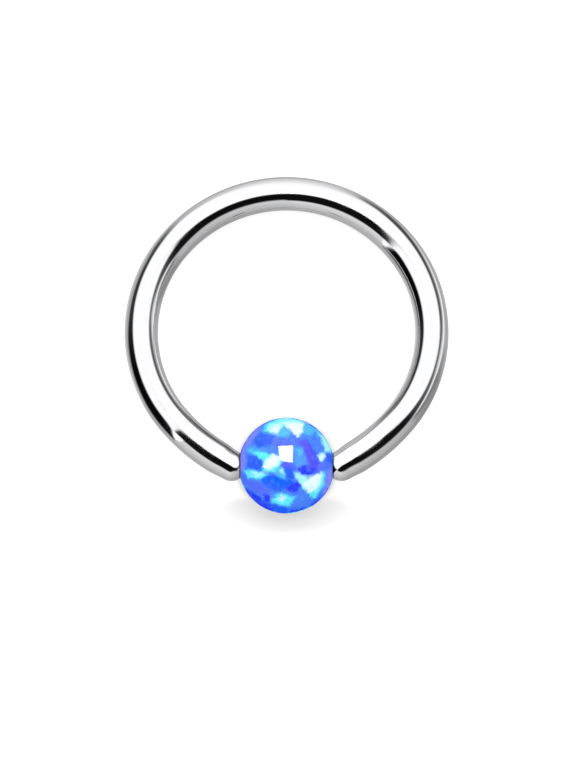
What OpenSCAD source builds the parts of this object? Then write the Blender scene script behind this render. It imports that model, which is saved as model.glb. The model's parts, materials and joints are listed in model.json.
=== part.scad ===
// Captive bead ring lying on its side: a bent steel wire whose two tapered ends hold an opal bead.
// X runs across the ring, Y runs from the bead to the crown, and Z is up from the surface.

/* [Wire] */
// Diameter of the wire
wire_d = 1.6; // [1.2:0.1:2]
// Clear width inside the ring
inside_w = 12.2; // [9:0.1:16]

/* [Bend] */
// Angle above the horizontal where the crown's arc meets the side arcs
crown_end = 42; // [30:1:50]
// Radius of the side arcs, as a share of the ring's half width
side_share = 0.92; // [0.86:0.01:0.98]
// Angle below the horizontal where the side arcs meet the tails
side_end = 40; // [24:1:44]

/* [Wire ends] */
// Length of the straight taper at each end of the wire
taper_len = 0.8; // [0.5:0.1:1.4]
// How much the taper takes off the wire's radius
taper_depth = 0.06; // [0.02:0.02:0.16]

/* [Bead] */
// Diameter of the bead
bead_d = 4.55; // [3.8:0.05:5.6]
// How far inside the ring's round centre line the bead's centre lies
bead_inset = 1.08; // [0.72:0.04:1.52]
// How deep each wire end sits in the bead's outline
seat_depth = 0.4; // [0.2:0.02:0.5]
// Running gap between a wire end and its dimple
seat_gap = 0.05; // [0.02:0.01:0.08]

/* [Hidden] */
$fn = 96;

// Radii and angles are kept to three decimals, so that neighbouring arcs share one exact end face.
function fine(x) = round(x * 1000) / 1000;
function along(angle) = [cos(angle), sin(angle)];

// How much a matrix with six-digit numbers, as the solids are rebuilt from, makes what it turns grow
function growth(angle) = norm([round(cos(angle) * 1e6), round(sin(angle) * 1e6)]) / 1e6 - 1;

wire_r = wire_d / 2;
tip_r = wire_r - taper_depth;
bead_r = bead_d / 2;

// The centre line in the ring's own plane, with the crown arc's centre at 0, 0 and the crown at +Y
half_w = inside_w / 2 + wire_r;
side_r = fine(side_share * half_w);
crown_r = fine(side_r + (half_w - side_r) / cos(crown_end));
side_c = (crown_r - side_r) * along(crown_end);
side_foot = side_c + side_r * along(-side_end);

// Each tail is an arc and the straight taper, and they end where the bead wants the wire's round tip.
// Its turn is the one within 0.02 degrees that grows least, so that the taper's face fits the arc's.
wanted_tip = [bead_r + tip_r - seat_depth, bead_inset - half_w];
tail_x = (wanted_tip - side_foot) * -along(90 - side_end);
tail_y = (wanted_tip - side_foot) * -along(-side_end);
wanted_turn = fine(2 * atan2(tail_y, tail_x + taper_len));
near_turns = [for (step = [-20 : 20]) wanted_turn + step / 1000];
growths = [for (turn = near_turns) abs(growth(side_end + turn))];
tail_turn = fine(near_turns[search(min(growths), growths)[0]]);
tail_r = fine((tail_x - taper_len * cos(tail_turn)) / sin(tail_turn));
tail_end = side_end + tail_turn;
tail_c = side_c + (side_r - tail_r) * along(-side_end);
tail_foot = tail_c + tail_r * along(-tail_end);
tip = tail_foot - taper_len * along(90 - tail_end);

// At rest the crown and the bead both touch the surface.
bead_c = [0, tip[1]];
rest_tilt = asin((bead_r - wire_r) / (crown_r - bead_c[1]));
rest_lift = wire_r + crown_r * sin(rest_tilt);
far_y = crown_r * cos(rest_tilt) + wire_r;
near_y = bead_c[1] * cos(rest_tilt) - bead_r;

// A shift or a turn is made in a rounded step and a small second step that holds the rest.
module shifted(v) {
    rounded = [fine(v[0]), fine(v[1])];
    translate(rounded) translate(v - rounded) children();
}

module turned(angle) {
    rounded = atan2(round(sin(angle) * 1e6), round(cos(angle) * 1e6));
    rotate([0, 0, angle]) rotate([0, 0, angle - rounded]) children();
}

// A stretch of round wire bent to one radius. It reaches a hair into its neighbours, so that meshes of
// them join too, and the six digits that the exact solids are rebuilt from leave the hair out.
module bent_wire(centre, radius, from, sweep) {
    hair = 1e-5;
    shifted(centre)
        rotate_extrude(start = from - hair, angle = sweep + 2 * hair)
            translate([radius, 0]) circle(r = wire_r);
}

// The straight taper and round tip, standing on the face that joins the tail
module wire_end() {
    rotate_extrude() {
        polygon([[0, 0], [wire_r, 0], [tip_r, taper_len], [0, taper_len]]);
        translate([0, taper_len]) intersection() {
            circle(r = tip_r);
            square(tip_r);
        }
    }
}

module half_of_ring() {
    bent_wire(side_c, side_r, -side_end, side_end + crown_end);
    bent_wire(tail_c, tail_r, -tail_end, tail_turn);
    shifted(tail_foot) turned(-tail_end) rotate([90, 0, 0]) wire_end();
}

// Moves a piece from the ring's plane to where it lies, the origin below the middle of the whole
module at_rest() {
    translate([0, -(far_y + near_y) / 2, rest_lift]) rotate([-rest_tilt, 0, 0]) children();
}

module ring_wire() {
    color("silver") at_rest() {
        bent_wire([0, 0], crown_r, crown_end, 180 - 2 * crown_end);
        half_of_ring();
        mirror([1, 0, 0]) half_of_ring();
    }
}

// The ball is turned so that the seam of its surface lies between the two dimples.
module opal_bead() {
    color("royalblue") at_rest() difference() {
        translate(bead_c) rotate([0, 0, 90]) sphere(r = bead_r);
        for (side = [0, 1])
            mirror([side, 0, 0]) translate(tip) sphere(r = tip_r + seat_gap);
    }
}

ring_wire();
opal_bead();
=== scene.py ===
import json
import math

import bpy
import numpy as np
from mathutils import Matrix, Vector


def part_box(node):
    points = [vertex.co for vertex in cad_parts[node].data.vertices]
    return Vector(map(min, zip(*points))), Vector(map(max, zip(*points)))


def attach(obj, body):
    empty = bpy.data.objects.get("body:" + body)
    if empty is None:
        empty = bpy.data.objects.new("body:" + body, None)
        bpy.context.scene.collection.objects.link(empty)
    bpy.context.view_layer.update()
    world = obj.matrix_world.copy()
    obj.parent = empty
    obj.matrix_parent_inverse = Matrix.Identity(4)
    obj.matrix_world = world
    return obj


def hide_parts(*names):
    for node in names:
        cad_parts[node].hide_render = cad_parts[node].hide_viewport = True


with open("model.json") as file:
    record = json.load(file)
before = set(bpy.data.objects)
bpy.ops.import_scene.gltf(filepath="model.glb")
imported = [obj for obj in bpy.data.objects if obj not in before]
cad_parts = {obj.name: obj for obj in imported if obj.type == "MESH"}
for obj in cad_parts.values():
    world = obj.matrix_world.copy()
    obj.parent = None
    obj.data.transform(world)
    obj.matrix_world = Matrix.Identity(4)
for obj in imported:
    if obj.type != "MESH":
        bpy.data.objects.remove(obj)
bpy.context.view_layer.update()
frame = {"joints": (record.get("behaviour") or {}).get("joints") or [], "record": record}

# Where the two CAD pieces lie
seat = Vector(frame["record"]["mounts"][0]["pos_m"])  # middle of the crown's wire
beadMiddle = Vector(frame["joints"][0]["pos_m"])
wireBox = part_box("ring_wire")
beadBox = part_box("opal_bead")
wireRadius = seat.z
beadRadius = (beadBox[1].z - beadBox[0].z) / 2
halfWidth = (wireBox[1].x - wireBox[0].x) / 2 - wireRadius

# The hoop's own directions: acrossAxis along the bead's axis, upAxis from the bead to the crown,
# and faceAxis square to both, towards the camera
acrossAxis = Vector((1, 0, 0))
upAxis = (seat - beadMiddle).normalized()
faceAxis = acrossAxis.cross(upAxis)
print("frame read: wire", round(wireRadius * 2000, 3), "mm, bead", round(beadRadius * 2000, 3), "mm")


# Node helpers
def addNode(tree, kind, inputs=None, **settings):
    made = tree.nodes.new("ShaderNode" + kind)
    for name, value in settings.items():
        setattr(made, name, value)
    for name, value in (inputs or {}).items():
        plug(tree, value, made.inputs[name])
    return made


def plug(tree, value, socket):
    if isinstance(value, bpy.types.NodeSocket):
        tree.links.new(value, socket)
    else:
        socket.default_value = value


def calc(tree, operation, first, second=0.0, third=0.0):
    made = addNode(tree, "Math", operation=operation)
    for value, socket in zip((first, second, third), made.inputs):
        plug(tree, value, socket)
    return made.outputs[0]


def vectorCalc(tree, operation, first, second=(0, 0, 0), scale=None):
    made = addNode(tree, "VectorMath", operation=operation)
    plug(tree, first, made.inputs[0])
    plug(tree, second, made.inputs[1])
    if scale is not None:
        plug(tree, scale, made.inputs["Scale"])
    return made.outputs["Value" if operation in ("DOT_PRODUCT", "LENGTH") else "Vector"]


def fade(tree, value, start, end, low=0.0, high=1.0):
    # low up to start, high from end on, and smooth between them
    inputs = {"Value": value, "From Min": start, "From Max": end, "To Min": low, "To Max": high}
    return addNode(tree, "MapRange", inputs, interpolation_type="SMOOTHSTEP").outputs["Result"]


def blendColours(tree, factor, under, over, kind="MIX"):
    made = addNode(tree, "Mix", data_type="RGBA", blend_type=kind)
    plug(tree, factor, made.inputs["Factor"])
    plug(tree, under, made.inputs[6])
    plug(tree, over, made.inputs[7])
    return made.outputs[2]


def curveOver(tree, value, points, span=1.0):
    # a drawn curve: points are (place, height), with places from 0 to span
    made = addNode(tree, "FloatCurve", {"Value": calc(tree, "DIVIDE", value, span)})
    curve = made.mapping.curves[0]
    while len(curve.points) < len(points):
        curve.points.new(0, 0)  # moved to its place below
    for point, (place, height) in zip(curve.points, points):
        point.location = (place / span, height)
        point.handle_type = "AUTO_CLAMPED"
    made.mapping.update()
    return made.outputs["Value"]


def newGroup(name, inputs, outputs):
    group = bpy.data.node_groups.new(name, "ShaderNodeTree")
    for kind, sockets in (("INPUT", inputs), ("OUTPUT", outputs)):
        for socketName, (socketType, value) in sockets.items():
            made = group.interface.new_socket(socketName, in_out=kind, socket_type="NodeSocket" + socketType)
            if value is not None:
                made.default_value = value
    entry = group.nodes.new("NodeGroupInput")
    leave = group.nodes.new("NodeGroupOutput")
    return group, entry.outputs, leave.inputs


def useGroup(tree, group, inputs):
    made = tree.nodes.new("ShaderNodeGroup")
    made.node_tree = group
    for name, value in inputs.items():
        plug(tree, value, made.inputs[name])
    return made.outputs


def seen(red, green, blue):
    # a colour as a screen shows it, 0 to 255, turned into light
    shares = [value / 255 for value in (red, green, blue)]
    return tuple(share / 12.92 if share < 0.04045 else ((share + 0.055) / 1.055) ** 2.4 for share in shares)


def newMaterial(name):
    made = bpy.data.materials.new(name)
    made.use_nodes = True
    made.node_tree.nodes.clear()
    return made, made.node_tree


# Camera: looks along the hoop's own normal, and so from above
view = {
    "distance": 0.35,
    "frameHeight": 0.03647,  # what the picture's long side shows at the hoop
    "aimAcross": 0.000071,  # the picture's middle, from the crown arc's centre
    "aimUp": -0.001943,
    "sensorWidth": 36,  # millimetres
}


def addCamera(arcCentre):
    camera = bpy.data.objects.new("camera", bpy.data.cameras.new("camera"))
    bpy.context.scene.collection.objects.link(camera)
    aim = arcCentre + acrossAxis * view["aimAcross"] + upAxis * view["aimUp"]
    camera.data.sensor_width = view["sensorWidth"]
    camera.data.lens = view["sensorWidth"] * view["distance"] / view["frameHeight"]
    camera.data.clip_start = 0.01
    camera.data.clip_end = 10
    turn = Matrix((acrossAxis, upAxis, faceAxis)).transposed().to_4x4()
    camera.matrix_world = Matrix.Translation(aim + faceAxis * view["distance"]) @ turn
    bpy.context.scene.camera = camera


# Wire: the same arcs as the solid, swept finely and with a soft start to the taper
wireShape = {
    "crownEnd": 42,  # degrees above the horizontal where the crown's arc meets the side arcs
    "sideShare": 0.92,  # the side arcs' radius, as a share of the hoop's half width
    "sideEnd": 40,  # degrees below the horizontal where the side arcs meet the tails
    "taperLength": 0.0008,
    "taperDepth": 0.00006,
    "beadInset": 0.00108,  # how far inside the hoop's round line the bead's middle lies
    "seatDepth": 0.0004,  # how deep each wire end sits in the bead's outline
    "facesAround": 72,
    "faceLength": 0.00009,
    "facesOverTip": 14,
}


def along(degrees):
    return np.array([math.cos(math.radians(degrees)), math.sin(math.radians(degrees))])


def halfOfWire():
    # places, outward directions and radii from the crown's top to the right tip, in the hoop's own plane
    s = wireShape
    tipRadius = wireRadius - s["taperDepth"]
    sideRadius = s["sideShare"] * halfWidth
    crownRadius = sideRadius + (halfWidth - sideRadius) / math.cos(math.radians(s["crownEnd"]))
    sideCentre = (crownRadius - sideRadius) * along(s["crownEnd"])
    sideFoot = sideCentre + sideRadius * along(-s["sideEnd"])
    wantedTip = np.array([beadRadius + tipRadius - s["seatDepth"], s["beadInset"] - halfWidth])
    tailX = (wantedTip - sideFoot) @ -along(90 - s["sideEnd"])
    tailY = (wantedTip - sideFoot) @ -along(-s["sideEnd"])
    tailTurn = 2 * math.atan2(tailY, tailX + s["taperLength"])
    tailRadius = (tailX - s["taperLength"] * math.cos(tailTurn)) / math.sin(tailTurn)
    tailEnd = s["sideEnd"] + math.degrees(tailTurn)
    tailCentre = sideCentre + (sideRadius - tailRadius) * along(-s["sideEnd"])
    places = []
    outward = []
    radii = []
    arcs = (
        (np.zeros(2), crownRadius, 90, s["crownEnd"]),
        (sideCentre, sideRadius, s["crownEnd"], -s["sideEnd"]),
        (tailCentre, tailRadius, -s["sideEnd"], -tailEnd),
    )
    for centre, radius, start, end in arcs:
        count = round(radius * math.radians(start - end) / s["faceLength"])
        for angle in np.linspace(start, end, count, endpoint=False):
            places.append(centre + radius * along(angle))
            outward.append(along(angle))
            radii.append(wireRadius)
    foot = tailCentre + tailRadius * along(-tailEnd)
    heading = -along(90 - tailEnd)
    for share in np.linspace(0, 1, round(s["taperLength"] / s["faceLength"]), endpoint=False):
        places.append(foot + heading * s["taperLength"] * share)
        outward.append(along(-tailEnd))
        smooth = share * share * (3 - 2 * share)
        radii.append(wireRadius - s["taperDepth"] * smooth)
    tip = foot + heading * s["taperLength"]
    for angle in np.linspace(0, 90, s["facesOverTip"] + 1):
        reach, radius = tipRadius * along(angle)[::-1]
        places.append(tip + heading * reach)
        outward.append(along(-tailEnd))
        radii.append(radius)
    return np.array(places), np.array(outward), np.array(radii), crownRadius


def toRow(points, origin):
    # from the hoop's own plane (across, up, towards the camera) to the row's frame
    axes = np.array([acrossAxis, upAxis, faceAxis])
    return points @ axes + np.array(origin)


def meshFromGrid(name, grid, alongLengths, aroundLength):
    # grid is rings of points, and its first and last ring are one point each. The mesh gets a map whose
    # two lengths are metres along it and around it.
    rings, around = grid.shape[:2]
    points = [grid[0, 0]] + [p for ring in grid[1:-1] for p in ring] + [grid[-1, 0]]
    last = len(points) - 1

    def index(ring, step):
        if ring == 0:
            return 0
        if ring == rings - 1:
            return last
        return 1 + (ring - 1) * around + step % around

    faces = []
    corners = []
    for ring in range(rings - 1):
        for step in range(around):
            quad = [(ring, step), (ring, step + 1), (ring + 1, step + 1), (ring + 1, step)]
            if ring == 0:
                quad = quad[1:]
            if ring == rings - 2:
                quad = quad[:-1]
            faces.append([index(*corner) for corner in quad])
            corners += [(alongLengths[r], s / around * aroundLength) for r, s in quad]
    mesh = bpy.data.meshes.new(name)
    mesh.from_pydata([tuple(p) for p in points], [], faces)
    layer = mesh.uv_layers.new(name="alongAndAround")
    layer.data.foreach_set("uv", np.array(corners, np.float32).ravel())
    mesh.shade_smooth()
    mesh.validate()
    made = bpy.data.objects.new(name, mesh)
    bpy.context.scene.collection.objects.link(made)
    return made


def makeWire():
    places, outward, radii, crownRadius = halfOfWire()
    arcCentre = seat - upAxis * crownRadius
    mirrored = np.array([-1, 1])
    places = np.concatenate([(places * mirrored)[::-1], places[1:]])
    outward = np.concatenate([(outward * mirrored)[::-1], outward[1:]])
    radii = np.concatenate([radii[::-1], radii[1:]])
    around = wireShape["facesAround"]
    angles = np.arange(around) / around * 2 * math.pi
    grid = np.zeros((len(places), around, 3))
    for i, (place, direction, radius) in enumerate(zip(places, outward, radii)):
        grid[i, :, :2] = place + radius * np.cos(angles)[:, None] * direction
        grid[i, :, 2] = radius * np.sin(angles)
    steps = np.linalg.norm(np.diff(places, axis=0), axis=1)
    lengths = np.concatenate([[0], np.cumsum(steps)])
    wire = meshFromGrid("polished_hoop", toRow(grid, arcCentre), lengths, 2 * math.pi * wireRadius)
    return wire, arcCentre


# Bead: a ball turned on the line through the wire's tips, with a dimple for each tip
beadShape = {
    "seatGap": 0.000012,  # between a wire end and its dimple
    "rimSoftness": 0.00002,  # radius that takes the edge off a dimple
    "facesAround": 180,
    "facesOverBall": 150,
    "facesOverRim": 8,
    "facesInDimple": 14,
}


def beadProfile():
    # (along the axis, away from the axis) from the middle of the ball to the bottom of the right dimple
    s = beadShape
    tipRadius = wireRadius - wireShape["taperDepth"]
    hollow = tipRadius + s["seatGap"]
    tipPlace = beadRadius + tipRadius - wireShape["seatDepth"]
    soft = s["rimSoftness"]
    inner = beadRadius - soft
    outer = hollow + soft
    x = (inner**2 - outer**2 + tipPlace**2) / (2 * tipPlace)
    rim = np.array([x, math.sqrt(inner**2 - x**2)])
    ballAngle = math.degrees(math.atan2(rim[1], rim[0]))
    hollowAngle = math.degrees(math.atan2(rim[1], rim[0] - tipPlace))
    profile = [beadRadius * along(a) for a in np.linspace(90, ballAngle, s["facesOverBall"] // 2 + 1)]
    rimAngles = np.linspace(ballAngle, hollowAngle - 180, s["facesOverRim"] + 1)[1:]
    profile += [rim + soft * along(a) for a in rimAngles]
    for a in np.linspace(hollowAngle, 180, s["facesInDimple"] + 1)[1:]:
        profile.append(np.array([tipPlace, 0]) + hollow * along(a))
    return np.array(profile)


def makeBead():
    profile = beadProfile()
    profile = np.concatenate([(profile * [-1, 1])[::-1], profile[1:]])
    around = beadShape["facesAround"]
    angles = np.arange(around) / around * 2 * math.pi
    grid = np.zeros((len(profile), around, 3))
    grid[:, :, 0] = profile[:, :1]
    grid[:, :, 1] = profile[:, 1:] * np.cos(angles)
    grid[:, :, 2] = profile[:, 1:] * np.sin(angles)
    steps = np.linalg.norm(np.diff(profile, axis=0), axis=1)
    lengths = np.concatenate([[0], np.cumsum(steps)])
    return meshFromGrid("opal_ball", toRow(grid, beadMiddle), lengths, 2 * math.pi * beadRadius)


hoop, arcCentre = makeWire()
print("wire swept:", len(hoop.data.polygons), "faces")
bead = makeBead()
print("bead turned:", len(bead.data.polygons), "faces")
bead.visible_glossy = False  # in the photo the steel shows no blue
addCamera(arcCentre)

# Fine marks that both finishes carry: long scratches, shallow waves and patches of haze
markNoise = {
    "scratchStretch": 0.04,  # how much the scratches are drawn out along X
    "hazeShift": 3.7,  # moves the haze away from the waves
    "detail": 3.0,
    "waveDetail": 1.0,
}


def makeFineMarks():
    group, given, out = newGroup(
        "fineMarks",
        {"Place": ("Vector", None), "Density": ("Float", 60.0), "Waviness": ("Float", 2.0)},
        {"Scratches": ("Float", None), "Waves": ("Float", None), "Haze": ("Float", None)},
    )
    stretched = vectorCalc(group, "MULTIPLY", given["Place"], (markNoise["scratchStretch"], 1, 1))
    moved = vectorCalc(group, "ADD", given["Place"], (markNoise["hazeShift"],) * 3)
    layers = (
        ("Scratches", stretched, given["Density"], markNoise["detail"]),
        ("Waves", given["Place"], given["Waviness"], markNoise["waveDetail"]),
        ("Haze", moved, given["Waviness"], markNoise["detail"]),
    )
    for name, place, scale, detail in layers:
        noise = addNode(group, "TexNoise", {"Vector": place, "Scale": scale, "Detail": detail})
        plug(group, noise.outputs["Fac"], out[name])
    return group


fineMarks = makeFineMarks()

# Steel: a mirror finish with faint drawing lines along the wire, waves from bending and haze from handling
steelLook = {
    "colour": (0.66, 0.66, 0.67),
    "roughness": 0.045,
    "hazeRoughness": 0.05,  # what the haze adds at most
    "hazeFrom": 0.45,  # parts of the haze's noise where it begins and is whole
    "hazeTo": 0.75,
    "lineDensity": 9.0,  # how often lines and waves come, per millimetre
    "waviness": 0.6,
    "lineHeight": 0.0000006,
    "waveHeight": 0.0000035,
    # painted shade: a dark line on the wire where it dips into the bead, its colour and where it fades
    "contactShadeFrom": 0.00002,  # distances from the bead's surface
    "contactShadeTo": 0.0001,
    "contactShadeColour": (0.12, 0.12, 0.14),
}


def makeSteel():
    look = steelLook
    material, tree = newMaterial("polished_steel")
    # the map's two lengths are rolled up again, in millimetres, so that the marks meet round the wire
    mapped = addNode(tree, "UVMap", uv_map="alongAndAround").outputs["UV"]
    lengths = addNode(tree, "SeparateXYZ", {"Vector": mapped}).outputs
    angle = calc(tree, "DIVIDE", lengths["Y"], wireRadius)
    rolled = addNode(tree, "CombineXYZ", {
        "X": calc(tree, "MULTIPLY", lengths["X"], 1000.0),
        "Y": calc(tree, "MULTIPLY", calc(tree, "COSINE", angle), wireRadius * 1000),
        "Z": calc(tree, "MULTIPLY", calc(tree, "SINE", angle), wireRadius * 1000),
    }).outputs[0]
    marks = useGroup(tree, fineMarks, {"Place": rolled, "Density": look["lineDensity"],
                                       "Waviness": look["waviness"]})
    dullest = look["roughness"] + look["hazeRoughness"]
    roughness = fade(tree, marks["Haze"], look["hazeFrom"], look["hazeTo"], look["roughness"], dullest)
    lines = calc(tree, "MULTIPLY", marks["Scratches"], look["lineHeight"])
    height = calc(tree, "MULTIPLY_ADD", marks["Waves"], look["waveHeight"], lines)
    bump = addNode(tree, "Bump", {"Height": height, "Strength": 1.0, "Distance": 1.0})
    # painted shade: a dark line where the wire dips into the bead
    off = vectorCalc(tree, "SUBTRACT", addNode(tree, "TexCoord").outputs["Object"], tuple(beadMiddle))
    outside = calc(tree, "SUBTRACT", vectorCalc(tree, "LENGTH", off), beadRadius)
    unshaded = fade(tree, outside, look["contactShadeFrom"], look["contactShadeTo"])
    colour = blendColours(tree, unshaded, (*look["contactShadeColour"], 1), (*look["colour"], 1))
    shader = addNode(tree, "BsdfPrincipled", {
        "Base Color": colour,
        "Metallic": 1.0,
        "Roughness": roughness,
        "Normal": bump.outputs[0],
    })
    end = tree.nodes.new("ShaderNodeOutputMaterial")
    tree.links.new(shader.outputs[0], end.inputs["Surface"])
    return material


# Opal: blue to cyan flakes under a clear polish. Places are in bead radii: across, up, towards the camera.
royal = seen(50, 98, 250)
azure = seen(72, 130, 255)
clear = seen(74, 152, 255)
marine = seen(25, 98, 255)
sky = seen(85, 190, 255)
cyan = seen(96, 238, 255)
pale = seen(170, 246, 255)
whiteCyan = seen(230, 255, 255)
violet = seen(84, 84, 250)
iris = seen(84, 112, 255)
periwinkle = seen(130, 138, 255)
deep = seen(38, 58, 252)

# Drawn from the back to the front: colour, softness of the edge in bead radii, then three to six corners,
# across and up in hundredths of the bead's radius
frontFlakesWithPaintedLight = [
    (iris, 0.08, (-23, 39), (16, 37), (39, 39), (27, 62), (-12, 57), (-39, 60)),
    # the next four are a painted reflection: a pale band along the outline at the left and lower right
    (periwinkle, 0.06, (-66, 90), (-91, 62), (-101, 24), (-80, 37), (-65, 62), (-50, 86)),
    (periwinkle, 0.06, (-99, 39), (-105, 12), (-101, -19), (-85, -15), (-85, 12), (-79, 41)),
    (iris, 0.06, (-104, -17), (-93, -42), (-83, -44), (-80, -27), (-85, -13)),
    (periwinkle, 0.06, (78, -36), (71, -58), (83, -58), (101, -27), (97, -5), (80, -13)),
    # top left and top
    (royal, 0.04, (-64, 60), (-71, 43), (-54, 36), (-31, 47), (-23, 65), (-52, 69)),
    (clear, 0.06, (-81, 33), (-70, 29), (-47, 24), (-39, 33), (-66, 43), (-81, 43)),
    (sky, 0.06, (-47, 70), (-27, 66), (-23, 84), (-39, 90), (-52, 74)),
    (cyan, 0.05, (-39, 70), (-8, 79), (41, 88), (27, 99), (-23, 99), (-47, 84)),
    (pale, 0.05, (-8, 84), (16, 84), (39, 88), (23, 96), (0, 97), (-19, 91)),
    (pale, 0.04, (-31, 69), (-19, 63), (-7, 80), (-12, 91), (-36, 86), (-42, 73)),
    (whiteCyan, 0.06, (-25, 68), (-18, 68), (-14, 84), (-23, 84), (-32, 76)),
    (sky, 0.04, (2, 60), (8, 72), (-7, 80), (-19, 63)),
    (whiteCyan, 0.04, (0, 80), (17, 65), (25, 61), (34, 70), (38, 90), (-4, 90)),
    (sky, 0.05, (35, 68), (47, 62), (62, 74), (54, 88), (38, 96)),
    # right edge
    (sky, 0.04, (72, 47), (83, 24), (104, 30), (86, 72), (54, 84)),
    (pale, 0.05, (76, 43), (81, 26), (103, 34), (84, 68), (67, 70)),
    (azure, 0.03, (47, 57), (58, 37), (76, 28), (78, 37), (68, 59), (58, 64)),
    (pale, 0.04, (67, 13), (75, 10), (91, 31), (88, 39), (72, 28), (59, 35)),
    (whiteCyan, 0.04, (68, 16), (74, 13), (83, 24), (82, 29), (74, 24), (63, 30)),
    (royal, 0.04, (79, 12), (85, -1), (97, 4), (94, 24), (83, 28)),
    (iris, 0.04, (68, -12), (83, -10), (93, 0), (82, 14), (68, 4)),
    # right of the middle
    (violet, 0.04, (27, 39), (38, 24), (47, 8), (59, 31), (44, 54), (24, 57)),
    (violet, 0.04, (44, -5), (59, -21), (65, -13), (69, 6), (59, 31), (38, 24)),
    (clear, 0.06, (16, 4), (27, -2), (40, 2), (39, 16), (28, 39), (16, 39)),
    (sky, 0.04, (26, 26), (32, 24), (33, 34), (24, 36)),
    (deep, 0.03, (29, -13), (42, -19), (61, -17), (62, -7), (36, 2), (20, -6)),
    (deep, 0.03, (40, -25), (44, -25), (47, -15), (35, -13)),
    (deep, 0.03, (58, -21), (60, -21), (63, -13), (54, -13)),
    (iris, 0.04, (44, -11), (50, -12), (50, -3), (42, -3)),
    # left of the middle
    (sky, 0.04, (-82, 31), (-64, 20), (-47, 14), (-36, 24), (-62, 35), (-80, 36)),
    (cyan, 0.03, (-70, 29), (-58, 22), (-47, 16), (-38, 22), (-58, 30)),
    (cyan, 0.04, (-43, 6), (-14, 2), (-11, 14), (-31, 24), (-50, 29), (-66, 23)),
    (royal, 0.04, (-81, -2), (-70, -8), (-52, -8), (-42, 4), (-66, 19), (-82, 23)),
    (cyan, 0.04, (-50, -10), (-27, -14), (-17, -5), (-12, 14), (-35, 24), (-47, 8)),
    (whiteCyan, 0.04, (-48, 0), (-38, -7), (-20, 1), (-12, 17), (-29, 25), (-42, 13)),
    (cyan, 0.04, (-80, -24), (-54, -28), (-28, -14), (-50, -10), (-70, -9), (-89, -3)),
    (pale, 0.05, (-71, -20), (-57, -23), (-44, -14), (-74, -11)),
    # below the middle
    (sky, 0.05, (-19, -28), (-4, -29), (-2, -17), (-8, -2), (-23, -5)),
    (pale, 0.04, (-12, -15), (-6, -17), (-7, -7), (-14, -7)),
    (marine, 0.04, (-39, -49), (-14, -53), (-2, -39), (-8, -28), (-29, -15), (-53, -28)),
    (marine, 0.06, (-12, -42), (-2, -46), (14, -36), (12, -29), (-12, -27)),
    (violet, 0.03, (-4, -5), (8, -7), (22, -2), (14, 5), (0, 10), (-14, 2)),
    (royal, 0.04, (0, -25), (14, -28), (17, -2), (-5, -4)),
    (deep, 0.04, (1, -50), (12, -56), (26, -47), (30, -33), (16, -33), (-2, -45)),
    # bottom right
    (pale, 0.04, (19, -23), (27, -34), (39, -46), (47, -25), (33, -17), (17, -12)),
    (cyan, 0.04, (32, -44), (59, -67), (78, -38), (80, -9), (62, -19), (37, -27)),
    (whiteCyan, 0.05, (34, -38), (45, -57), (59, -55), (71, -33), (73, -13), (48, -23)),
    (cyan, 0.04, (52, -69), (60, -64), (63, -50), (44, -54)),
    (azure, 0.06, (8, -81), (16, -89), (41, -83), (54, -69), (39, -55), (17, -63)),
    # bottom and bottom left. The deep blue round the lower outline is partly the opal's colour and partly
    # painted shade on the lower side
    (cyan, 0.05, (-16, -81), (6, -83), (18, -64), (-4, -58), (-21, -58), (-34, -72)),
    (whiteCyan, 0.07, (-17, -68), (-9, -72), (-4, -65), (-11, -61)),
    (iris, 0.06, (-82, -45), (-62, -56), (-39, -60), (-31, -48), (-64, -31), (-84, -30)),
    (deep, 0.05, (-86, -54), (-72, -73), (-56, -80), (-52, -67), (-66, -58), (-88, -43)),
    (deep, 0.04, (-47, -76), (-34, -74), (-34, -59), (-50, -58)),
    (deep, 0.06, (-70, -83), (-52, -100), (-23, -104), (-21, -84), (-39, -78), (-64, -73)),
    (deep, 0.05, (6, -88), (8, -108), (50, -100), (60, -80), (36, -86)),
    (deep, 0.05, (50, -80), (60, -100), (98, -60), (78, -58), (66, -68)),
    (marine, 0.06, (-27, -104), (6, -104), (2, -85), (-25, -82)),
]

# The rest of the ball, also from the back to the front: colour, colour of the flakes' cores,
# flakes per bead radius, share of the ball that they take, turn in degrees
otherFlakes = [
    (royal, marine, 1.9, 0.50, 20),
    (violet, iris, 2.4, 0.34, 65),
    (periwinkle, azure, 2.0, 0.22, 110),
    (deep, deep, 2.9, 0.26, 150),
    (cyan, whiteCyan, 2.3, 0.34, 35),
    (sky, pale, 3.6, 0.20, 95),
]

opalLook = {
    "polish": 0.03,  # roughness of the clear coat
    "coatIor": 1.3,
    "coatFrom": 0.25,  # the coat weakens between these two, from facing, 0, to the outline, 1
    "coatTo": 0.6,
    "outlineCoat": 0.06,
    "flakeRoughness": 0.5,
    "brightness": 0.92,
    # painted glow: the bead gives off its own colour as light, though it is no lamp
    "glow": 0.1,
    "colourOnFloor": (0.3, 0.3, 0.3),
    "driftScale": 4.0,
    "driftDetail": 3.0,
    "drift": 0.05,  # how far flakes' edges wander, in bead radii
    "cells": 16.0,  # small domains that jag the flakes' edges, per bead radius
    "jag": 0.035,
    "darkCell": 0.93,
    "lightCell": 1.05,
    "frontFrom": 0.2,  # how far towards the camera the charted flakes begin, in bead radii
    "frontSoftness": 0.03,
    "mottle": 9.0,  # cloudy patches per bead radius
    "mottleFrom": 0.5,  # parts of the patches' noise where they begin and are whole
    "mottleTo": 0.72,
    "mottleShare": 0.2,
    "dimpleDepth": (0.97, 0.99),  # distances from the bead's middle between which painted shade darkens the dimples
    "dimpleShade": 0.12,
}


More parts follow.
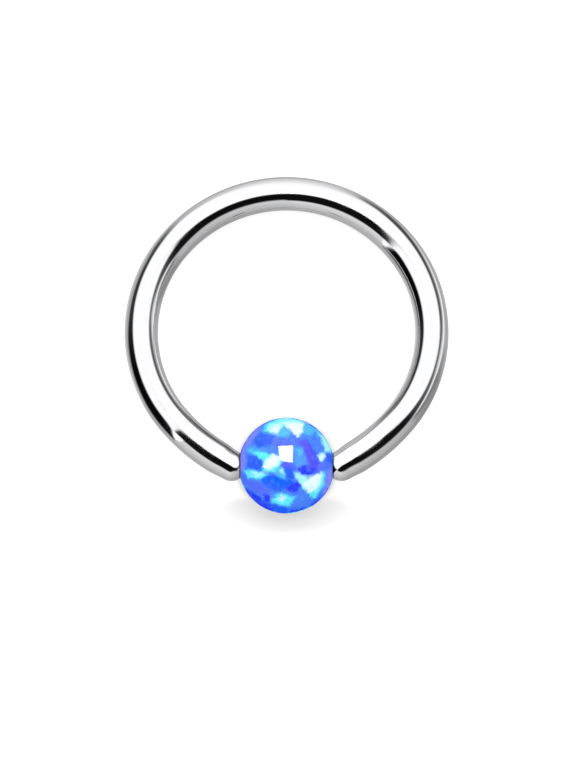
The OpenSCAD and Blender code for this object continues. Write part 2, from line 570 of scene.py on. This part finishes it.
def makeFlatShape():
    # a flat shape with up to six straight edges. Each vector holds a number for three of them: a place is
    # inside an edge by its x times lean across, plus its y times lean up, plus reach.
    edges = {}
    for half in ("First", "Second"):
        for part in ("lean across", "lean up", "reach"):
            edges[f"{half} {part}"] = ("Vector", None)
    group, given, out = newGroup(
        "flatShape",
        {"X": ("Float", 0.0), "Y": ("Float", 0.0), **edges, "Edge": ("Float", 0.02)},
        {"Mask": ("Float", None)},
    )
    inside = []
    for half in ("First", "Second"):
        byX = vectorCalc(group, "SCALE", given[f"{half} lean across"], scale=given["X"])
        byY = vectorCalc(group, "SCALE", given[f"{half} lean up"], scale=given["Y"])
        inside.append(vectorCalc(group, "ADD", vectorCalc(group, "ADD", byX, byY), given[f"{half} reach"]))
    least = addNode(group, "SeparateXYZ", {"Vector": vectorCalc(group, "MINIMUM", *inside)}).outputs
    least = calc(group, "MINIMUM", calc(group, "MINIMUM", least["X"], least["Y"]), least["Z"])
    plug(group, fade(group, least, calc(group, "MULTIPLY", given["Edge"], -1.0), given["Edge"]), out["Mask"])
    return group


flatShape = makeFlatShape()


def maskFor(tree, x, y, corners, softness):
    # corners are in hundredths and run either way round
    points = np.array(corners) / 100
    sides = points - np.roll(points, 1, axis=0)
    sides /= np.linalg.norm(sides, axis=1)[:, None]
    lean = np.stack([-sides[:, 1], sides[:, 0]], axis=1)
    if ((points.mean(axis=0) - points) * lean).sum() < 0:
        lean = -lean
    rows = np.column_stack([lean, -(points * lean).sum(axis=1)])
    rows = rows[[k % len(rows) for k in range(6)]]
    inputs = {"X": x, "Y": y, "Edge": softness}
    for half, three in (("First", rows[:3]), ("Second", rows[3:])):
        for part, column in zip(("lean across", "lean up", "reach"), three.T):
            inputs[f"{half} {part}"] = tuple(float(value) for value in column)
    return useGroup(tree, flatShape, inputs)["Mask"]


# One layer of the flakes that aren't drawn singly
flakeShape = {
    "turnAxis": (0.6, 0.3, 0.74),
    "stretch": (0.7, 1.25, 1.0),
    "edge": 0.07,  # widths in cells
    "coreFrom": 0.10,
    "coreTo": 0.26,
}


def makeFlakeCells():
    s = flakeShape
    group, given, out = newGroup(
        "flakeCells",
        {"Place": ("Vector", None), "Cells": ("Float", 2.0), "Share": ("Float", 0.3), "Turn": ("Float", 0.0)},
        {"Mask": ("Float", None), "Core": ("Float", None)},
    )
    turned = addNode(group, "VectorRotate", {"Vector": given["Place"], "Axis": s["turnAxis"],
                                             "Angle": given["Turn"]})
    stretched = vectorCalc(group, "MULTIPLY", turned.outputs[0], s["stretch"])
    # each layer is moved too, by its turn
    moved = vectorCalc(group, "ADD", stretched, given["Turn"])
    cells = addNode(group, "TexVoronoi", {"Vector": moved, "Scale": given["Cells"]})
    rims = addNode(group, "TexVoronoi", {"Vector": moved, "Scale": given["Cells"]},
                   feature="DISTANCE_TO_EDGE")
    drawn = addNode(group, "SeparateColor", {"Color": cells.outputs["Color"]}).outputs[0]
    taken = calc(group, "LESS_THAN", drawn, given["Share"])
    rim = rims.outputs["Distance"]
    plug(group, calc(group, "MULTIPLY", taken, fade(group, rim, 0.0, s["edge"])), out["Mask"])
    plug(group, fade(group, rim, s["coreFrom"], s["coreTo"]), out["Core"])
    return group


def flakeAndPaintedLightColour(tree, jagged):
    # drawn flakes on the side towards the camera, with painted reflection and painted shade along the
    # outline, and layers of cells on the rest
    flakeCells = makeFlakeCells()
    rest = (*azure, 1)
    for colour, core, cells, share, turn in otherFlakes:
        made = useGroup(tree, flakeCells, {"Place": jagged, "Cells": cells, "Share": share,
                                           "Turn": math.radians(turn)})
        flake = blendColours(tree, made["Core"], (*colour, 1), (*core, 1))
        rest = blendColours(tree, made["Mask"], rest, flake)
    front = (*azure, 1)
    flat = addNode(tree, "SeparateXYZ", {"Vector": jagged}).outputs
    for colour, softness, *corners in frontFlakesWithPaintedLight:
        mask = maskFor(tree, flat["X"], flat["Y"], corners, softness)
        front = blendColours(tree, mask, front, (*colour, 1))
    start = opalLook["frontFrom"] - opalLook["frontSoftness"]
    isFront = fade(tree, flat["Z"], start, opalLook["frontFrom"] + opalLook["frontSoftness"])
    return blendColours(tree, isFront, rest, front)


def makeOpal():
    look = opalLook
    material, tree = newMaterial("blue_opal")
    place = addNode(tree, "TexCoord").outputs["Object"]
    off = vectorCalc(tree, "SUBTRACT", place, tuple(beadMiddle))
    off = vectorCalc(tree, "SCALE", off, scale=1 / beadRadius)
    across = vectorCalc(tree, "DOT_PRODUCT", off, tuple(acrossAxis))
    up = vectorCalc(tree, "DOT_PRODUCT", off, tuple(upAxis))
    toward = vectorCalc(tree, "DOT_PRODUCT", off, tuple(faceAxis))
    ball = addNode(tree, "CombineXYZ", {"X": across, "Y": up, "Z": toward}).outputs[0]
    # flakes' edges wander and are jagged by small domains
    drift = addNode(tree, "TexNoise", {"Vector": ball, "Scale": look["driftScale"],
                                       "Detail": look["driftDetail"]})
    small = addNode(tree, "TexVoronoi", {"Vector": ball, "Scale": look["cells"]})
    jagged = ball
    for texture, amount in ((drift, look["drift"]), (small, look["jag"])):
        centred = vectorCalc(tree, "SUBTRACT", texture.outputs["Color"], (0.5, 0.5, 0.5))
        jagged = vectorCalc(tree, "ADD", jagged, vectorCalc(tree, "SCALE", centred, scale=amount))
    colour = flakeAndPaintedLightColour(tree, jagged)
    # cloudy patches in the flakes, small domains that are a little lighter or darker, and painted shade in
    # the dimples
    marks = useGroup(tree, fineMarks, {"Place": jagged, "Waviness": look["mottle"]})
    patches = fade(tree, marks["Haze"], look["mottleFrom"], look["mottleTo"], 0.0, look["mottleShare"])
    colour = blendColours(tree, patches, colour, (*sky, 1), "LIGHTEN")
    grain = addNode(tree, "SeparateColor", {"Color": small.outputs["Color"]}).outputs[0]
    shade = fade(tree, grain, 0.0, 1.0, look["darkCell"], look["lightCell"])
    dimple = fade(tree, vectorCalc(tree, "LENGTH", off), *look["dimpleDepth"], look["dimpleShade"], 1.0)
    colour = vectorCalc(tree, "SCALE", colour, scale=calc(tree, "MULTIPLY", shade, dimple))
    # the floor is lit by a grey bead, so that its shadow is grey as in the photo
    onFloor = addNode(tree, "LightPath").outputs["Is Diffuse Ray"]
    colour = blendColours(tree, onFloor, colour, (*look["colourOnFloor"], 1))
    colour = vectorCalc(tree, "SCALE", colour, scale=look["brightness"])
    # the polish is a clear coat, weaker towards the outline
    facing = addNode(tree, "LayerWeight", {"Blend": 0.5}).outputs["Facing"]
    coat = fade(tree, facing, look["coatFrom"], look["coatTo"], 1.0, look["outlineCoat"])
    shader = addNode(tree, "BsdfPrincipled", {
        "Base Color": colour,
        "Roughness": look["flakeRoughness"],
        "Specular IOR Level": 0.0,
        "Coat Weight": coat,
        "Coat Roughness": look["polish"],
        "Coat IOR": look["coatIor"],
        # painted glow: the flakes' colour given off as light
        "Emission Color": colour,
        "Emission Strength": look["glow"],
    })
    end = tree.nodes.new("ShaderNodeOutputMaterial")
    tree.links.new(shader.outputs[0], end.inputs["Surface"])
    return material


hoop.data.materials.append(makeSteel())
print("steel finished")
bead.data.materials.append(makeOpal())
print("opal finished")

# Studio: a white softbox overhead with black cards, drawn as a mirror ball at the hoop would show it.
# Turns are in degrees from straight below, counterclockwise, and distances are shares of the ball's radius.
# Curves are (turn, value), apart from the grey's.
studio = {
    # how far out the white reaches, and how soft its edge is
    "whiteEdge": [
        (0, 0), (42, 0), (50, 0.13), (60, 0.25), (70, 0.35), (80, 0.41), (90, 0.465), (100, 0.50),
        (120, 0.56), (130, 0.60), (140, 0.645), (150, 0.69), (160, 0.69), (180, 0.70), (200, 0.72),
        (215, 0.725), (225, 0.68), (232, 0.62), (240, 0.585), (250, 0.555), (260, 0.52), (270, 0.475),
        (280, 0.445), (290, 0.42), (300, 0.40), (308, 0.375), (311, 0.42), (313.5, 0.60), (315, 0.74),
        (316, 0.66), (317.5, 0.3), (318.5, 0), (360, 0)],
    "whiteSoftness": [
        (0, 0.055), (130, 0.055), (148, 0.07), (158, 0.14), (170, 0.19), (190, 0.17), (205, 0.09),
        (225, 0.055), (360, 0.055)],
    # how far out the dark beyond it reaches, and how light it is
    "darkEdge": [
        (0, 0.39), (30, 0.40), (40, 0.45), (50, 0.495), (60, 0.50), (70, 0.50), (80, 0.53), (90, 0.61),
        (100, 0.67), (115, 0.71), (130, 0.79), (145, 0.87), (152, 0.89), (165, 1), (218, 1), (228, 0.85),
        (235, 0.81), (242, 0.77), (260, 0.765), (275, 0.79), (300, 0.81), (313, 0.79), (315, 0.78),
        (317, 0.42), (320, 0.40), (340, 0.395), (360, 0.39)],
    "darkLevel": [
        (0, 0.003), (50, 0.006), (60, 0.06), (70, 0.10), (90, 0.11), (105, 0.10), (120, 0.07),
        (132, 0.06), (145, 0.10), (158, 0.5), (175, 0.62), (195, 0.58), (220, 0.42), (233, 0.07),
        (245, 0.035), (258, 0.03), (265, 0.025), (275, 0.01), (290, 0.002), (360, 0.003)],
    "darkSoftness": 0.06,
    # a second dark card below, in front of the white, from one turn on
    "cardFrom": 313.0,
    "cardFromSoftness": 0.3,
    "cardEdge": 0.41,
    "cardSoftness": 0.04,
    "cardLevel": 0.004,
    # the grey outside both, as (distance, value), and its share
    "grey": [
        (0, 0.69), (0.45, 0.70), (0.55, 0.64), (0.65, 0.57), (0.75, 0.53), (0.85, 0.406), (0.95, 0.42),
        (1, 0.42)],
    "greyShare": [
        (0, 0.92), (20, 0.84), (30, 0.78), (50, 0.74), (60, 0.57), (70, 0.57), (80, 0.93), (300, 0.95),
        (320, 1), (350, 1), (360, 0.92)],
    # the outermost rim, and the distances between which it takes over from the grey
    "rimLevel": [
        (0, 0.39), (20, 0.35), (50, 0.31), (60, 0.28), (80, 0.39), (160, 0.42), (175, 0.34), (195, 0.34),
        (215, 0.40), (232, 0.6), (290, 0.6), (305, 0.4), (360, 0.39)],
    "rimFrom": 0.84,
    "rimTo": 0.97,
    # a thin light line in the grey: how far out it lies, how strong it is and how it fades to its sides
    "lineAt": [
        (0, 0.45), (50, 0.49), (60, 0.53), (70, 0.58), (80, 0.65), (90, 0.70), (100, 0.745), (110, 0.775),
        (120, 0.80), (130, 0.84), (145, 0.88), (360, 0.88)],
    "lineStrength": [
        (0, 0), (50, 0), (58, 0.6), (70, 0.8), (95, 0.9), (110, 0.75), (122, 0.5), (132, 0.25), (142, 0),
        (360, 0)],
    "lineFade": (0.012, 0.055),
    "lineLevel": 0.95,
    # the shade beyond the line
    "shadeBeyond": 0.12,
    "shadeStrength": [(0, 0), (50, 0), (58, 0.6), (72, 0.6), (84, 0.2), (92, 0), (360, 0)],
    "shadeFade": (0.03, 0.10),
    "shadeLevel": 0.1,
    "gain": 1.87,  # of all the above
    # the window that the bead's highlight shows, in hundredths of the ball's radius
    "window": [(-14, 15), (-8, 9.5), (13, 7.2), (13.6, 42.6), (-17.5, 41)],
    "windowSoftness": 0.006,
    "windowInGloss": 75.0,
    "windowDepth": 2.5,  # the studio sees a first reflection at ray depth 2, and a second one at 3
    "windowForTheRest": 4.0,
    "evenLight": 1.05,  # what matt surfaces get from every side
}


def makeStudio():
    s = studio
    world = bpy.data.worlds.new("studio")
    bpy.context.scene.world = world
    world.use_nodes = True
    tree = world.node_tree
    tree.nodes.clear()
    direction = addNode(tree, "TexCoord").outputs["Generated"]
    across = vectorCalc(tree, "DOT_PRODUCT", direction, tuple(acrossAxis))
    up = vectorCalc(tree, "DOT_PRODUCT", direction, tuple(upAxis))
    toward = vectorCalc(tree, "DOT_PRODUCT", direction, tuple(faceAxis))
    # a mirror ball shows a direction at its part across and up, over the root of 2 + 2 toward
    spread = calc(tree, "MAXIMUM", calc(tree, "MULTIPLY_ADD", toward, 2.0, 2.0), 0.00001)
    spread = calc(tree, "SQRT", spread)
    ballX = calc(tree, "DIVIDE", across, spread)
    ballY = calc(tree, "DIVIDE", up, spread)
    out = calc(tree, "SQRT", calc(tree, "MAXIMUM", calc(tree, "MULTIPLY_ADD", toward, -0.5, 0.5), 0.0))
    turn = calc(tree, "ARCTAN2", ballX, calc(tree, "MULTIPLY", ballY, -1.0))
    turn = calc(tree, "MULTIPLY", calc(tree, "FRACT", calc(tree, "DIVIDE", turn, 2 * math.pi)), 360.0)

    def overTurn(name):
        return curveOver(tree, turn, s[name], 360.0)

    def mix(factor, under, over):
        made = addNode(tree, "Mix", data_type="FLOAT")
        plug(tree, factor, made.inputs["Factor"])
        plug(tree, under, made.inputs[2])
        plug(tree, over, made.inputs[3])
        return made.outputs[0]

    def within(edge, softness):
        past = calc(tree, "SUBTRACT", out, edge)
        return fade(tree, past, calc(tree, "MULTIPLY", softness, -1.0), softness, 1.0, 0.0)

    def nearby(distance, limits, strength):
        share = fade(tree, calc(tree, "ABSOLUTE", distance), *limits, 1.0, 0.0)
        return calc(tree, "MULTIPLY", share, strength)

    light = calc(tree, "MULTIPLY", curveOver(tree, out, s["grey"]), overTurn("greyShare"))
    light = mix(within(overTurn("darkEdge"), s["darkSoftness"]), light, overTurn("darkLevel"))
    pastLine = calc(tree, "SUBTRACT", out, overTurn("lineAt"))
    pastShade = calc(tree, "SUBTRACT", pastLine, s["shadeBeyond"])
    light = mix(nearby(pastShade, s["shadeFade"], overTurn("shadeStrength")), light, s["shadeLevel"])
    light = mix(nearby(pastLine, s["lineFade"], overTurn("lineStrength")), light, s["lineLevel"])
    light = mix(fade(tree, out, s["rimFrom"], s["rimTo"]), light, overTurn("rimLevel"))
    light = mix(within(overTurn("whiteEdge"), overTurn("whiteSoftness")), light, 1.0)
    cardSoftness = s["cardFromSoftness"]
    card = fade(tree, turn, s["cardFrom"] - cardSoftness, s["cardFrom"] + cardSoftness)
    card = calc(tree, "MULTIPLY", card, within(s["cardEdge"], s["cardSoftness"]))
    light = mix(card, light, s["cardLevel"])
    light = calc(tree, "MULTIPLY", light, s["gain"])
    path = addNode(tree, "LightPath").outputs
    light = mix(path["Is Diffuse Ray"], light, s["evenLight"])
    # only the highlight itself is that bright, not what another piece mirrors of it
    firstGloss = calc(tree, "LESS_THAN", path["Ray Depth"], s["windowDepth"])
    firstGloss = calc(tree, "MULTIPLY", path["Is Glossy Ray"], firstGloss)
    strength = mix(firstGloss, s["windowForTheRest"], s["windowInGloss"])
    window = maskFor(tree, ballX, ballY, s["window"], s["windowSoftness"])
    light = mix(window, light, strength)
    light = mix(path["Is Camera Ray"], light, 1.0)
    background = addNode(tree, "Background", {"Strength": light})
    end = tree.nodes.new("ShaderNodeOutputWorld")
    tree.links.new(background.outputs[0], end.inputs["Surface"])


# Floor: white, with a glow that hides shadows, apart from a disc under the bead and a flat oval at its
# lower edge, both in bead radii. Mirrors look past the floor to the studio.
floorLook = {
    "size": 3.0,
    "colour": (0.93, 0.93, 0.93),
    "discMiddle": 0.115,  # below the bead's middle
    "discRadius": 0.85,
    "discSoftness": 0.2,
    "ovalMiddle": 1.1,  # below the bead's middle
    "ovalAcross": 1.35,
    "ovalUp": 0.3,
    "ovalDown": 0.4,
    # the glow over the distance past the disc's edge, in softnesses, or from the oval's middle, in reaches
    "glow": [
        (0, 0), (0.3, 0.05), (0.6, 0.10), (0.9, 0.13), (1.1, 0.20), (1.3, 0.34), (1.5, 0.41), (3, 0.42)],
}


def makeGlow(tree):
    look = floorLook
    off = vectorCalc(tree, "SUBTRACT", addNode(tree, "TexCoord").outputs["Object"], tuple(beadMiddle))
    off = vectorCalc(tree, "SCALE", off, scale=1 / beadRadius)
    off = addNode(tree, "SeparateXYZ", {"Vector": off}).outputs

    def distance(x, y):
        return vectorCalc(tree, "LENGTH", addNode(tree, "CombineXYZ", {"X": x, "Y": y}).outputs[0])

    fromDisc = distance(off["X"], calc(tree, "ADD", off["Y"], look["discMiddle"]))
    fromDisc = calc(tree, "SUBTRACT", fromDisc, look["discRadius"])
    fromDisc = calc(tree, "DIVIDE", fromDisc, look["discSoftness"])
    aboveOval = calc(tree, "ADD", off["Y"], look["ovalMiddle"])
    upOrDown = calc(tree, "MAXIMUM", calc(tree, "DIVIDE", aboveOval, look["ovalUp"]),
                    calc(tree, "DIVIDE", aboveOval, -look["ovalDown"]))
    fromOval = distance(calc(tree, "DIVIDE", off["X"], look["ovalAcross"]), upOrDown)
    away = calc(tree, "MINIMUM", calc(tree, "MAXIMUM", fromDisc, 0.0), fromOval)
    furthest = look["glow"][-1][0]
    glow = curveOver(tree, calc(tree, "MINIMUM", away, furthest), look["glow"], furthest)
    # the glow is for the camera alone, so it lights nothing
    return calc(tree, "MULTIPLY", addNode(tree, "LightPath").outputs["Is Camera Ray"], glow)


def makeFloor():
    half = floorLook["size"] / 2
    mesh = bpy.data.meshes.new("floor")
    corners = [(-half, -half, 0), (half, -half, 0), (half, half, 0), (-half, half, 0)]
    mesh.from_pydata(corners, [], [(0, 1, 2, 3)])
    floor = bpy.data.objects.new("floor", mesh)
    bpy.context.scene.collection.objects.link(floor)
    material, tree = newMaterial("floor_white")
    matt = addNode(tree, "BsdfPrincipled", {
        "Base Color": (*floorLook["colour"], 1),
        "Roughness": 1.0,
        "Specular IOR Level": 0.0,
        "Emission Color": (1, 1, 1, 1),
        "Emission Strength": makeGlow(tree),
    })
    clear = addNode(tree, "BsdfTransparent")
    mixed = addNode(tree, "MixShader", {"Fac": addNode(tree, "LightPath").outputs["Is Glossy Ray"]})
    tree.links.new(matt.outputs[0], mixed.inputs[1])
    tree.links.new(clear.outputs[0], mixed.inputs[2])
    end = tree.nodes.new("ShaderNodeOutputMaterial")
    tree.links.new(mixed.outputs[0], end.inputs["Surface"])
    mesh.materials.append(material)


makeStudio()
makeFloor()
bpy.context.scene.view_settings.view_transform = "Standard"
print("studio and floor ready")

pieces = (
    (hoop, "ring", "ring_wire", "polished_steel"),
    (bead, "bead", "opal_bead", "blue_opal"),
)
for piece, body, node, slot in pieces:
    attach(piece, body)
    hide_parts(node)
